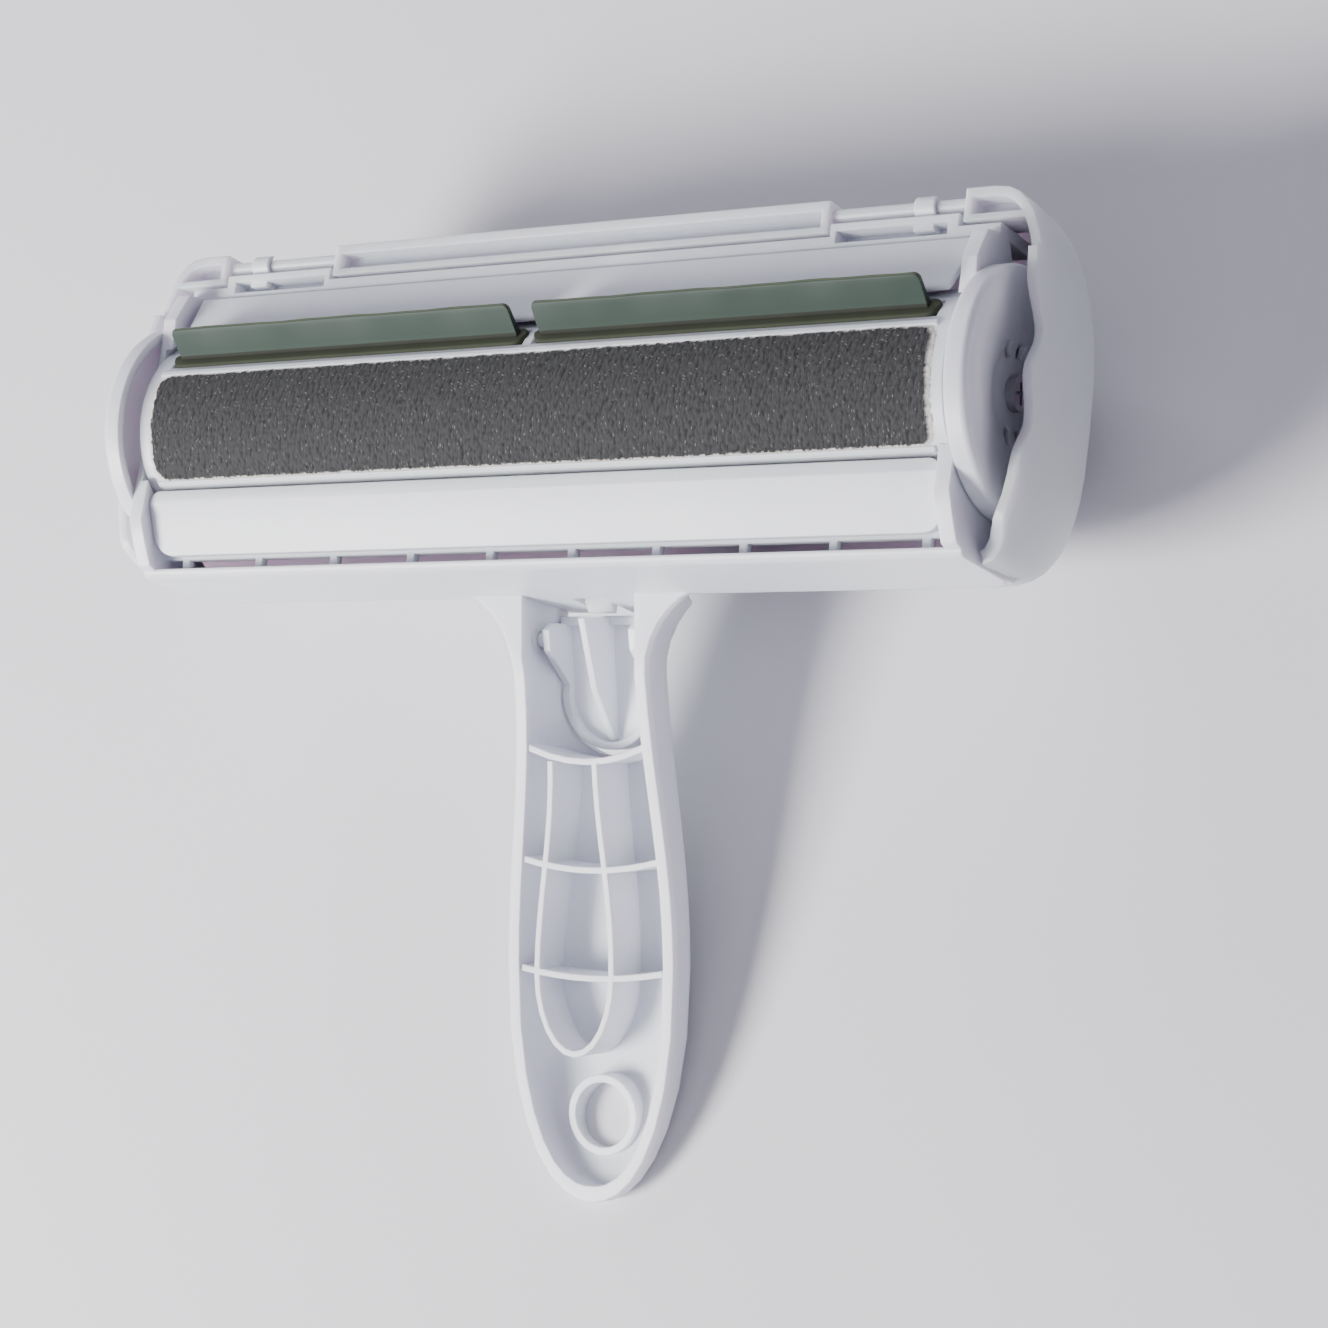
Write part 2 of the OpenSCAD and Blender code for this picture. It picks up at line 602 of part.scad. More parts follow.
module release_button() color(shell_color) at_handle() {
    intersection() {
        translate([0, 0, -30]) linear_extrude(40) intersection() {
            button_plan(0);
            translate([-20, -80]) square([40, 41.8]);
        }
        union() {
            along_x(40) polygon([[-38, -17], [-45, -17.4], [-70, -19.6], [-70, -17.6],
                [-45, -15.4], [-38, -15]]);
            difference() {
                along_x(40) polygon([[-45, -17.4], [-70, -19.6], [-70, -15.4], [-52, -13.9],
                    [-45, -15.5]]);
                translate([0, 0, -30]) linear_extrude(40) button_plan(-1.5);
            }
        }
    }
    both_sides() {
        button_side();
        translate([0, -trunnion_s, trunnion_z]) rod_x(trunnion_r, button_half - 1, neck_half - 1.1);
    }
    along_x(1.4) polygon([[-60, -17], [-60.5, -15.5], [-51, -9.2], [-37.4, -4.6], [-37, -14],
        [-37, -16.5]]);
    along_x(2 * button_half) polygon([[-38.6, -17], [-36.8, -17], [-36.8, -13.2], [-38.6, -13.2]]);
}

housing();
rear_bar();
front_panel();
lid();
drum();
drum_cap_left();
drum_cap_right();
fabric_pad();
blade_front_left();
blade_front_right();
blade_rear_left();
blade_rear_right();
wheel_left();
wheel_right();
wheel_screw_left();
wheel_screw_right();
release_button();
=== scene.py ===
"""Pet hair removal brush: finishes, velvet, rubber blades, studio and camera around the fixed solids.

Lengths named *_mm are millimetres; everything that reaches Blender is in metres.
"""

import json
import logging
import math
from dataclasses import dataclass
from enum import Enum
from typing import Any

import bmesh
import bpy
import numpy as np
from mathutils import Matrix


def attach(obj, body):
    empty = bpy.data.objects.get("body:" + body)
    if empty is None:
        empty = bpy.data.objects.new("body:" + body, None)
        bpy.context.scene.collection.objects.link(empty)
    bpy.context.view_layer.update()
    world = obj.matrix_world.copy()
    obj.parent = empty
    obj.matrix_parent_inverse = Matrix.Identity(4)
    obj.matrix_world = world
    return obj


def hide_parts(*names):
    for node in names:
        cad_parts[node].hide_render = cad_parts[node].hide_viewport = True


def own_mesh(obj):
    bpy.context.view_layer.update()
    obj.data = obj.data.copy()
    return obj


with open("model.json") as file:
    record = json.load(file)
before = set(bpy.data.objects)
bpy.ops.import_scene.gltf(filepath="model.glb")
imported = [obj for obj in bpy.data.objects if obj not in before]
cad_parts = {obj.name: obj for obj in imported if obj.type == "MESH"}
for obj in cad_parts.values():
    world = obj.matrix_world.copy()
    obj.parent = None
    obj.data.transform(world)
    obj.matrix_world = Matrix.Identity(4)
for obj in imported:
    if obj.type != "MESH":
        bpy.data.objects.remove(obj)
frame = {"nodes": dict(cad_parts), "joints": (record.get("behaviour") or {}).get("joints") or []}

Tree = bpy.types.NodeTree
Node = bpy.types.Node
Socket = bpy.types.NodeSocket
Material = bpy.types.Material
Mesh = bpy.types.Mesh
Piece = bpy.types.Object

LOG = logging.getLogger("pet_hair_brush")
MM = 0.001
NOISE_WEIGHTS = (127.1, 311.7, 74.7)
NOISE_SCALE = 43758.5453
NO_EDGE_M = 1e-7


class Side(Enum):
    """The two ends of the roller."""

    LEFT = -1
    RIGHT = 1


class Pick(Enum):
    """Which cells of a cell texture are marked, by the Math operation that finds them."""

    UNDER = "LESS_THAN"
    OVER = "GREATER_THAN"


def linear(hex_colour: str) -> tuple[float, float, float, float]:
    """Turns an sRGB hex colour into linear values.

    Args:
        hex_colour: six hex digits, with or without a leading #.

    Returns:
        Red, green, blue and alpha in linear light.
    """
    digits = hex_colour.lstrip("#")
    parts = [int(digits[i:i + 2], 16) / 255 for i in (0, 2, 4)]
    parts = [p / 12.92 if p <= 0.04045 else ((p + 0.055) / 1.055) ** 2.4 for p in parts]
    return (parts[0], parts[1], parts[2], 1.0)


def per_metre(size_mm: float) -> float:
    """The scale in Object coordinates of a pattern that repeats at this size in millimetres."""
    return 1 / (size_mm * MM)


def settle(tree: Tree, node: Node, settings: dict[Any, Any], links: dict[Any, Any]) -> None:
    """Gives a shader node its settings and incoming links.

    Args:
        tree: the node tree that holds the node.
        node: the node.
        settings: node properties, or input names or numbers with their fixed values.
        links: input names or numbers with the output sockets that feed them.
    """
    for key, value in settings.items():
        if isinstance(key, str) and hasattr(node, key):
            setattr(node, key, value)
        else:
            node.inputs[key].default_value = value
    for key, socket in links.items():
        tree.links.new(socket, node.inputs[key])


def add_node(tree: Tree, kind: str, settings: dict[Any, Any] | None = None,
             links: dict[Any, Any] | None = None) -> Node:
    """Adds one shader node with its settings and incoming links.

    Args:
        tree: the node tree that takes the node.
        kind: the node's type name.
        settings: as settle takes them.
        links: as settle takes them.

    Returns:
        The new node.
    """
    node = tree.nodes.new(kind)
    settle(tree, node, settings or {}, links or {})
    return node


def set_ramp(ramp: Node, stops: list[tuple[float, str]]) -> None:
    """Sets a colour ramp's stops.

    Args:
        ramp: the Color Ramp node.
        stops: pairs of place and sRGB hex colour, from low to high.
    """
    band = ramp.color_ramp
    while len(band.elements) < len(stops):
        band.elements.new(1.0)
    for element, (place, colour) in zip(band.elements, stops):
        element.position = place
        element.color = linear(colour)


def new_material(name: str) -> tuple[Material, Tree, Node]:
    """Starts a material.

    Args:
        name: the material's name.

    Returns:
        The material, its node tree and its Principled BSDF.
    """
    material = bpy.data.materials.new(name)
    material.use_nodes = True
    return material, material.node_tree, material.node_tree.nodes["Principled BSDF"]


@dataclass(frozen=True)
class MouldedPlastic:
    """Satin injection moulded ABS: an even, cool off-white with a fine spark-eroded grain.

    The grain breaks up reflections into a soft sheen, and slow waves in the wall show as a slight
    change of tone. Edges read as small radii, as a mould leaves them. Some light enters the wall and
    leaves it a faint lavender, which lifts the shade inside the open forms.
    """

    name: str = "moulded_abs_satin"
    light: str = "#E9ECF2"
    dark: str = "#E0E4EB"
    tone_stops: tuple[float, float] = (0.3, 0.7)
    roughness: tuple[float, float] = (0.34, 0.46)
    grain_mm: float = 0.5
    grain_depth_mm: float = 0.04
    grain_strength: float = 0.12
    wave_mm: float = 38.0
    edge_mm: float = 0.4
    edge_samples: int = 4
    ior: float = 1.54
    glow: float = 0.5
    glow_mm: float = 3.0
    glow_reach: tuple[float, float, float] = (1.0, 0.72, 0.86)

    def build(self) -> Material:
        """Makes the material and returns it."""
        material, tree, shader = new_material(self.name)
        place = add_node(tree, "ShaderNodeTexCoord")
        grain = add_node(tree, "ShaderNodeTexNoise", {"Scale": per_metre(self.grain_mm), "Detail": 2.0},
                         {"Vector": place.outputs["Object"]})
        wave = add_node(tree, "ShaderNodeTexNoise", {"Scale": per_metre(self.wave_mm), "Detail": 2.0},
                        {"Vector": place.outputs["Object"]})
        tone = add_node(tree, "ShaderNodeValToRGB", {}, {"Fac": wave.outputs["Fac"]})
        set_ramp(tone, list(zip(self.tone_stops, (self.dark, self.light))))
        gloss = add_node(tree, "ShaderNodeMapRange",
                         {"To Min": self.roughness[0], "To Max": self.roughness[1]},
                         {"Value": grain.outputs["Fac"]})
        edge = add_node(tree, "ShaderNodeBevel",
                        {"samples": self.edge_samples, "Radius": self.edge_mm * MM})
        bump = add_node(tree, "ShaderNodeBump",
                        {"Strength": self.grain_strength, "Distance": self.grain_depth_mm * MM},
                        {"Height": grain.outputs["Fac"], "Normal": edge.outputs["Normal"]})
        settle(tree, shader,
               {"IOR": self.ior, "Subsurface Weight": self.glow,
                "Subsurface Radius": self.glow_reach, "Subsurface Scale": self.glow_mm * MM},
               {"Base Color": tone.outputs["Color"], "Roughness": gloss.outputs["Result"],
                "Normal": bump.outputs["Normal"]})
        return material


@dataclass(frozen=True)
class MouldedRubber:
    """Soft moulded TPE rubber: a matt grey-green skin, olive on the foot, with a painted highlight of
    lighter olive along the tip.

    Where the lip stands on the foot a painted shade darkens it, and the skin there is duller. The
    attribute "tone" is 0.03 on the foot, 0.2 at the lip's root with its painted shade, 0.6 on its
    faces and 1 on its tip with its painted highlight.
    """

    name: str = "moulded_tpe_rubber"
    foot: str = "#3A4031"
    # painted shade: a darker colour at the lip's root, where it stands on the foot
    root: str = "#25271F"
    face: str = "#283A31"
    # painted highlight: a lighter olive along the lip's tip
    tip: str = "#515B44"
    tone_stops: tuple[float, float, float, float, float] = (0.0, 0.22, 0.42, 0.8, 0.95)
    cloud_mm: float = 9.0
    cloud_swing: float = 0.12
    roughness: tuple[float, float] = (0.5, 0.62)
    root_roughness: float = 0.3
    root_tones: tuple[float, float] = (0.15, 0.5)
    grain_mm: float = 0.35
    grain_depth_mm: float = 0.04
    grain_strength: float = 0.15
    ior: float = 1.5
    specular: float = 0.35

    def build(self) -> Material:
        """Makes the material and returns it."""
        material, tree, shader = new_material(self.name)
        place = add_node(tree, "ShaderNodeTexCoord")
        part = add_node(tree, "ShaderNodeAttribute", {"attribute_name": "tone"})
        cloud = add_node(tree, "ShaderNodeTexNoise", {"Scale": per_metre(self.cloud_mm), "Detail": 3.0},
                         {"Vector": place.outputs["Object"]})
        spread = add_node(tree, "ShaderNodeMath",
                          {"operation": "MULTIPLY_ADD", 1: self.cloud_swing, 2: -self.cloud_swing / 2},
                          {0: cloud.outputs["Fac"]})
        shift = add_node(tree, "ShaderNodeMath", {"operation": "ADD"},
                         {0: part.outputs["Fac"], 1: spread.outputs["Value"]})
        tone = add_node(tree, "ShaderNodeValToRGB", {}, {"Fac": shift.outputs["Value"]})
        colours = (self.foot, self.root, self.face, self.face, self.tip)
        set_ramp(tone, list(zip(self.tone_stops, colours)))
        grain = add_node(tree, "ShaderNodeTexNoise", {"Scale": per_metre(self.grain_mm), "Detail": 2.0},
                         {"Vector": place.outputs["Object"]})
        gloss = add_node(tree, "ShaderNodeMapRange",
                         {"To Min": self.roughness[0], "To Max": self.roughness[1]},
                         {"Value": grain.outputs["Fac"]})
        matt = add_node(tree, "ShaderNodeMapRange",
                        {"From Min": self.root_tones[0], "From Max": self.root_tones[1],
                         "To Min": self.root_roughness, "To Max": 0.0},
                        {"Value": part.outputs["Fac"]})
        skin = add_node(tree, "ShaderNodeMath", {"operation": "ADD"},
                        {0: gloss.outputs["Result"], 1: matt.outputs["Result"]})
        bump = add_node(tree, "ShaderNodeBump",
                        {"Strength": self.grain_strength, "Distance": self.grain_depth_mm * MM},
                        {"Height": grain.outputs["Fac"]})
        settle(tree, shader, {"IOR": self.ior, "Specular IOR Level": self.specular},
               {"Base Color": tone.outputs["Color"], "Roughness": skin.outputs["Value"],
                "Normal": bump.outputs["Normal"]})
        return material


@dataclass(frozen=True)
class Marks:
    """Spots in the middles of some of a cell texture's cells.

    share is the value of a cell's own random number that divides marked cells from the rest, and
    reach holds the distances from a cell's middle where its mark begins to fade and ends.
    """

    pick: Pick
    share: float
    reach: tuple[float, float]

    def add(self, tree: Tree, cells: Node) -> Socket:
        """Adds the marks to a material.

        Args:
            tree: the material's node tree.
            cells: the Voronoi node.

        Returns:
            A socket, 1 in a mark and 0 outside.
        """
        own = add_node(tree, "ShaderNodeSeparateColor", {}, {"Color": cells.outputs["Color"]})
        chosen = add_node(tree, "ShaderNodeMath", {"operation": self.pick.value, 1: self.share},
                          {0: own.outputs["Red"]})
        spot = add_node(tree, "ShaderNodeMapRange",
                        {"From Min": self.reach[0], "From Max": self.reach[1], "To Min": 1.0, "To Max": 0.0},
                        {"Value": cells.outputs["Distance"]})
        return add_node(tree, "ShaderNodeMath", {"operation": "MULTIPLY"},
                        {0: chosen.outputs["Value"], 1: spot.outputs["Result"]}).outputs["Value"]


@dataclass(frozen=True)
class LintVelvet:
    """One-way lint velvet, woven with a short slanted nylon pile: a dark neutral grey.

    The pile reads as fine strokes, painted darker low in the pile and a little lighter on its tips:
    painted shade and painted light. Toward the handle they are upright, with painted shade in some
    flecks and painted highlights on others. On the far side only painted highlights on the tips show,
    in slanting rows of specks. The attribute "pile" is a point's height in the pile, "far" runs from 0
    to 1 across the cloth, and "bare" is 1 on the pale woven backing that the cut edge shows.
    """

    name: str = "woven_lint_velvet"
    # painted shade: the darkest colour, low in the pile and in some flecks
    painted_pile_shade: str = "#1F1F20"
    body: str = "#373839"
    # a little lighter on the pile's tips: painted light
    tip: str = "#3F4041"
    # painted highlight: the colour of the light specks on the pile
    painted_glint_colour: str = "#8A8886"
    backing: str = "#D8D4CD"
    tone_stops: tuple[float, float, float] = (0.0, 0.3, 0.9)
    fibre_mm: tuple[float, float] = (0.2, 0.8)
    fibre_swing: float = 0.9
    fibre_depth_mm: float = 0.16
    fibre_strength: float = 0.6
    fleck_mm: tuple[float, float] = (0.5, 1.25)
    fleck_turn_deg: float = 4.0
    speck_mm: tuple[float, float] = (1.25, 0.62)
    speck_turn_deg: float = 24.0
    speck_scatter: float = 0.7
    # the flecks and specks that take painted shade and painted highlights
    near_painted_shade: Marks = Marks(Pick.UNDER, 0.3, (0.16, 0.34))
    near_painted_highlights: Marks = Marks(Pick.OVER, 0.64, (0.1, 0.3))
    far_painted_highlights: Marks = Marks(Pick.OVER, 0.2, (0.1, 0.28))
    painted_shade_strength: float = 0.7
    painted_highlight_strength: float = 0.5
    roughness: float = 0.82
    sheen: float = 0.12
    sheen_roughness: float = 0.4
    specular: float = 0.3

    def build(self) -> Material:
        """Makes the material and returns it."""
        material, tree, shader = new_material(self.name)
        cloth = add_node(tree, "ShaderNodeUVMap", {"uv_map": "cloth"}).outputs["UV"]
        pile = add_node(tree, "ShaderNodeAttribute", {"attribute_name": "pile"})
        far = add_node(tree, "ShaderNodeAttribute", {"attribute_name": "far"})
        bare = add_node(tree, "ShaderNodeAttribute", {"attribute_name": "bare"})
        fibre = add_node(tree, "ShaderNodeTexNoise", {"Scale": 1.0, "Detail": 3.0},
                         {"Vector": self.stretched(tree, cloth, self.fibre_mm, 0.0)})
        spread = add_node(tree, "ShaderNodeMath",
                          {"operation": "MULTIPLY_ADD", 1: self.fibre_swing, 2: -self.fibre_swing / 2},
                          {0: fibre.outputs["Fac"]})
        height = add_node(tree, "ShaderNodeMath", {"operation": "ADD"},
                          {0: pile.outputs["Fac"], 1: spread.outputs["Value"]})
        # colour by height in the pile: painted shade low down, painted light on the tips
        tone = add_node(tree, "ShaderNodeValToRGB", {}, {"Fac": height.outputs["Value"]})
        set_ramp(tone, list(zip(self.tone_stops, (self.painted_pile_shade, self.body, self.tip))))
        fleck = add_node(tree, "ShaderNodeTexVoronoi", {"Scale": 1.0, "Randomness": 1.0},
                         {"Vector": self.stretched(tree, cloth, self.fleck_mm, self.fleck_turn_deg)})
        speck = add_node(tree, "ShaderNodeTexVoronoi", {"Scale": 1.0, "Randomness": self.speck_scatter},
                         {"Vector": self.stretched(tree, cloth, self.speck_mm, self.speck_turn_deg)})
        light = add_node(tree, "ShaderNodeMix", {"data_type": "FLOAT"},
                         {"Factor": far.outputs["Fac"], 2: self.near_painted_highlights.add(tree, fleck),
                          3: self.far_painted_highlights.add(tree, speck)})
        highlight_mask = add_node(tree, "ShaderNodeMath", {"operation": "MULTIPLY", 1: self.painted_highlight_strength},
                       {0: light.outputs[0]})
        shade_mask = add_node(tree, "ShaderNodeMath", {"operation": "MULTIPLY", 1: self.painted_shade_strength},
                          {0: self.near_painted_shade.add(tree, fleck)})
        # painted shade in some flecks, then painted highlights, then the backing's own colour
        colour = self.over(tree, tone.outputs["Color"], self.painted_pile_shade, shade_mask.outputs["Value"])
        colour = self.over(tree, colour, self.painted_glint_colour, highlight_mask.outputs["Value"])
        colour = self.over(tree, colour, self.backing, bare.outputs["Fac"])
        bump = add_node(tree, "ShaderNodeBump",
                        {"Strength": self.fibre_strength, "Distance": self.fibre_depth_mm * MM},
                        {"Height": fibre.outputs["Fac"]})
        settle(tree, shader,
               {"Roughness": self.roughness, "Sheen Weight": self.sheen,
                "Sheen Roughness": self.sheen_roughness, "Specular IOR Level": self.specular},
               {"Base Color": colour, "Normal": bump.outputs["Normal"]})
        return material

    @staticmethod
    def stretched(tree: Tree, cloth: Socket, cell_mm: tuple[float, float], turn_deg: float) -> Socket:
        """Scales the cloth's millimetres so that a texture's cell has the size asked for.

        Args:
            tree: the material's node tree.
            cloth: the socket with the cloth's millimetres.
            cell_mm: the cell's width along the roller and its length round it.
            turn_deg: how far the cells are turned on the cloth.

        Returns:
            The scaled vector's socket.
        """
        turned = add_node(tree, "ShaderNodeMapping", {"Rotation": (0, 0, math.radians(turn_deg))},
                          {"Vector": cloth})
        return add_node(tree, "ShaderNodeMapping", {"Scale": (1 / cell_mm[0], 1 / cell_mm[1], 1)},
                        {"Vector": turned.outputs["Vector"]}).outputs["Vector"]

    @staticmethod
    def over(tree: Tree, under: Socket, colour: str, amount: Socket) -> Socket:
        """Lays a colour over another.

        Args:
            tree: the material's node tree.
            under: the colour socket below.
            colour: the sRGB colour on top.
            amount: the socket that says how much of it shows.

        Returns:
            The mixed colour's socket.
        """
        mix = add_node(tree, "ShaderNodeMix", {"data_type": "RGBA"}, {"Factor": amount, 6: under})
        mix.inputs[7].default_value = linear(colour)
        return mix.outputs[2]


@dataclass(frozen=True)
class ZincPlatedSteel:
    """Cold headed, zinc plated steel: a bright grey whose gloss varies a little, as plating does."""

    name: str = "zinc_plated_steel"
    colour: str = "#A9ADB0"
    grain_mm: float = 0.2
    roughness: tuple[float, float] = (0.25, 0.42)

    def build(self) -> Material:
        """Makes the material and returns it."""
        material, tree, shader = new_material(self.name)
        place = add_node(tree, "ShaderNodeTexCoord")
        grain = add_node(tree, "ShaderNodeTexNoise", {"Scale": per_metre(self.grain_mm), "Detail": 2.0},
                         {"Vector": place.outputs["Object"]})
        gloss = add_node(tree, "ShaderNodeMapRange",
                         {"To Min": self.roughness[0], "To Max": self.roughness[1]},
                         {"Value": grain.outputs["Fac"]})
        settle(tree, shader, {"Base Color": linear(self.colour), "Metallic": 1.0},
               {"Roughness": gloss.outputs["Result"]})
        return material


@dataclass(frozen=True)
class PaleFloor:
    """Matt pale paper under the object: an even tone with a faint tooth that softens its sheen."""

    name: str = "pale_paper"
    colour: str = "#E4E5E8"
    fibres_per_m: float = 900.0
    fibre_depth_mm: float = 0.1
    fibre_strength: float = 0.05
    roughness: float = 0.8

    def build(self) -> Material:
        """Makes the material and returns it."""
        material, tree, shader = new_material(self.name)
        place = add_node(tree, "ShaderNodeTexCoord")
        fibre = add_node(tree, "ShaderNodeTexNoise", {"Scale": self.fibres_per_m, "Detail": 2.0},
                         {"Vector": place.outputs["Object"]})
        bump = add_node(tree, "ShaderNodeBump",
                        {"Strength": self.fibre_strength, "Distance": self.fibre_depth_mm * MM},
                        {"Height": fibre.outputs["Fac"]})
        settle(tree, shader, {"Base Color": linear(self.colour), "Roughness": self.roughness},
               {"Normal": bump.outputs["Normal"]})
        return material


def mesh_piece(name: str, points: np.ndarray, faces: list[list[int]], material: Material) -> Piece:
    """Makes a mesh object at the origin from whole arrays.

    Args:
        name: the piece's name.
        points: vertices in metres, one row each.
        faces: the vertex numbers of each face.
        material: the finish.

    Returns:
        The new object, linked to the scene.
    """
    mesh = bpy.data.meshes.new(name)
    mesh.from_pydata(points.tolist(), [], faces)
    mesh.polygons.foreach_set("use_smooth", np.ones(len(faces), bool))
    mesh.materials.append(material)
    mesh.update()
    piece = bpy.data.objects.new(name, mesh)
    bpy.context.scene.collection.objects.link(piece)
    return piece


def store(piece: Piece, label: str, values: np.ndarray) -> None:
    """Keeps one number for each vertex as an attribute that a material reads.

    Args:
        piece: the object.
        label: the attribute's name.
        values: the numbers, in the order of the vertices.
    """
    layer = piece.data.attributes.new(label, "FLOAT", "POINT")
    layer.data.foreach_set("value", values.ravel().astype(np.float32))


def grid_faces(rows: int, columns: int, closed: bool = False) -> np.ndarray:
    """Quads over a grid of points numbered row by row.

    Args:
        rows: how many rows of points.
        columns: how many points in a row.
        closed: whether each row's last point joins its first.

    Returns:
        One row of four vertex numbers for each quad.
    """
    i, k = np.meshgrid(np.arange(rows - 1), np.arange(columns if closed else columns - 1), indexing="ij")
    here, right = i * columns + k, i * columns + (k + 1) % columns
    return np.stack([here, right, right + columns, here + columns], axis=-1).reshape(-1, 4)


def turn_outward(piece: Piece) -> None:
    """Turns all faces of a closed skin outward.

    Args:
        piece: the object whose mesh is turned.
    """
    work = bmesh.new()
    work.from_mesh(piece.data)
    bmesh.ops.recalc_face_normals(work, faces=work.faces)
    work.to_mesh(piece.data)
    work.free()


def close_ends(piece: Piece, caps: np.ndarray, weld_m: float = 2e-6, sharp_deg: float = 50.0) -> None:
    """Adds the end faces to a skin, merges its doubles and turns all faces outward.

    Args:
        piece: the object whose mesh is closed.
        caps: three vertex numbers for each end face.
        weld_m: how far apart two vertices may be to count as one.
        sharp_deg: the angle past which an edge is shaded sharp.
    """
    work = bmesh.new()
    work.from_mesh(piece.data)
    work.verts.ensure_lookup_table()
    for a, b, c in caps.tolist():
        work.faces.new((work.verts[a], work.verts[b], work.verts[c])).smooth = True
    bmesh.ops.remove_doubles(work, verts=work.verts, dist=weld_m)
    bmesh.ops.dissolve_degenerate(work, edges=work.edges, dist=NO_EDGE_M)
    bmesh.ops.recalc_face_normals(work, faces=work.faces)
    work.to_mesh(piece.data)
    work.free()
    piece.data.set_sharp_from_angle(angle=math.radians(sharp_deg))


def noise(*keys: np.ndarray) -> np.ndarray:
    """A fixed pseudo-random value from 0 to 1 for each set of whole numbers.

    Formula: the fraction of a large sine of a weighted sum of the keys.

    Args:
        keys: arrays of whole numbers, all of one shape.

    Returns:
        An array of that shape.
    """
    total = sum(k * w for k, w in zip(keys, NOISE_WEIGHTS))
    return np.modf(np.abs(np.sin(total) * NOISE_SCALE))[0]


def quarter_fall(reached: np.ndarray) -> np.ndarray:
    """The height of a quarter circle, 0 where reached is 0 or less and 1 where it is 1 or more."""
    return np.sqrt(1 - (1 - np.clip(reached, 0, 1)) ** 2)


def pose_matrix(axes: tuple[np.ndarray, np.ndarray, np.ndarray], spot: Any) -> Matrix:
    """The matrix of an object with these axes at this place.

    Args:
        axes: the object's own x, y and z as unit vectors.
        spot: its place in metres.

    Returns:
        The four by four matrix.
    """
    pose = np.eye(4)
    pose[:3, 0], pose[:3, 1], pose[:3, 2] = axes
    pose[:3, 3] = spot
    return Matrix(pose.tolist())


@dataclass
class RollerFrame:
    """The roller's own axes at rest, for all that rides on it."""

    axis_y: float
    axis_z: float
    rest_turn_deg: float = 10.4

    @classmethod
    def from_frame(cls) -> "RollerFrame":
        """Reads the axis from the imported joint."""
        joint = next(j for j in frame["joints"] if j["name"] == "roller_rock")
        return cls(axis_y=joint["pos_m"][1], axis_z=joint["pos_m"][2])

    def place(self, x_mm: np.ndarray, angle: np.ndarray, radius_mm: np.ndarray) -> np.ndarray:
        """Points on the roller. An angle runs in radians from the pad's middle toward the front.

        Formula: the radius at the angle less the rest turn, carried to the axis.

        Args:
            x_mm: places along the roller.
            angle: angles about its axis.
            radius_mm: distances from its axis.

        Returns:
            Points in metres, with a last dimension of three.
        """
        turned = angle - math.radians(self.rest_turn_deg)
        return np.stack([x_mm * MM, self.axis_y + radius_mm * np.sin(turned) * MM,
                         self.axis_z + radius_mm * np.cos(turned) * MM], axis=-1)


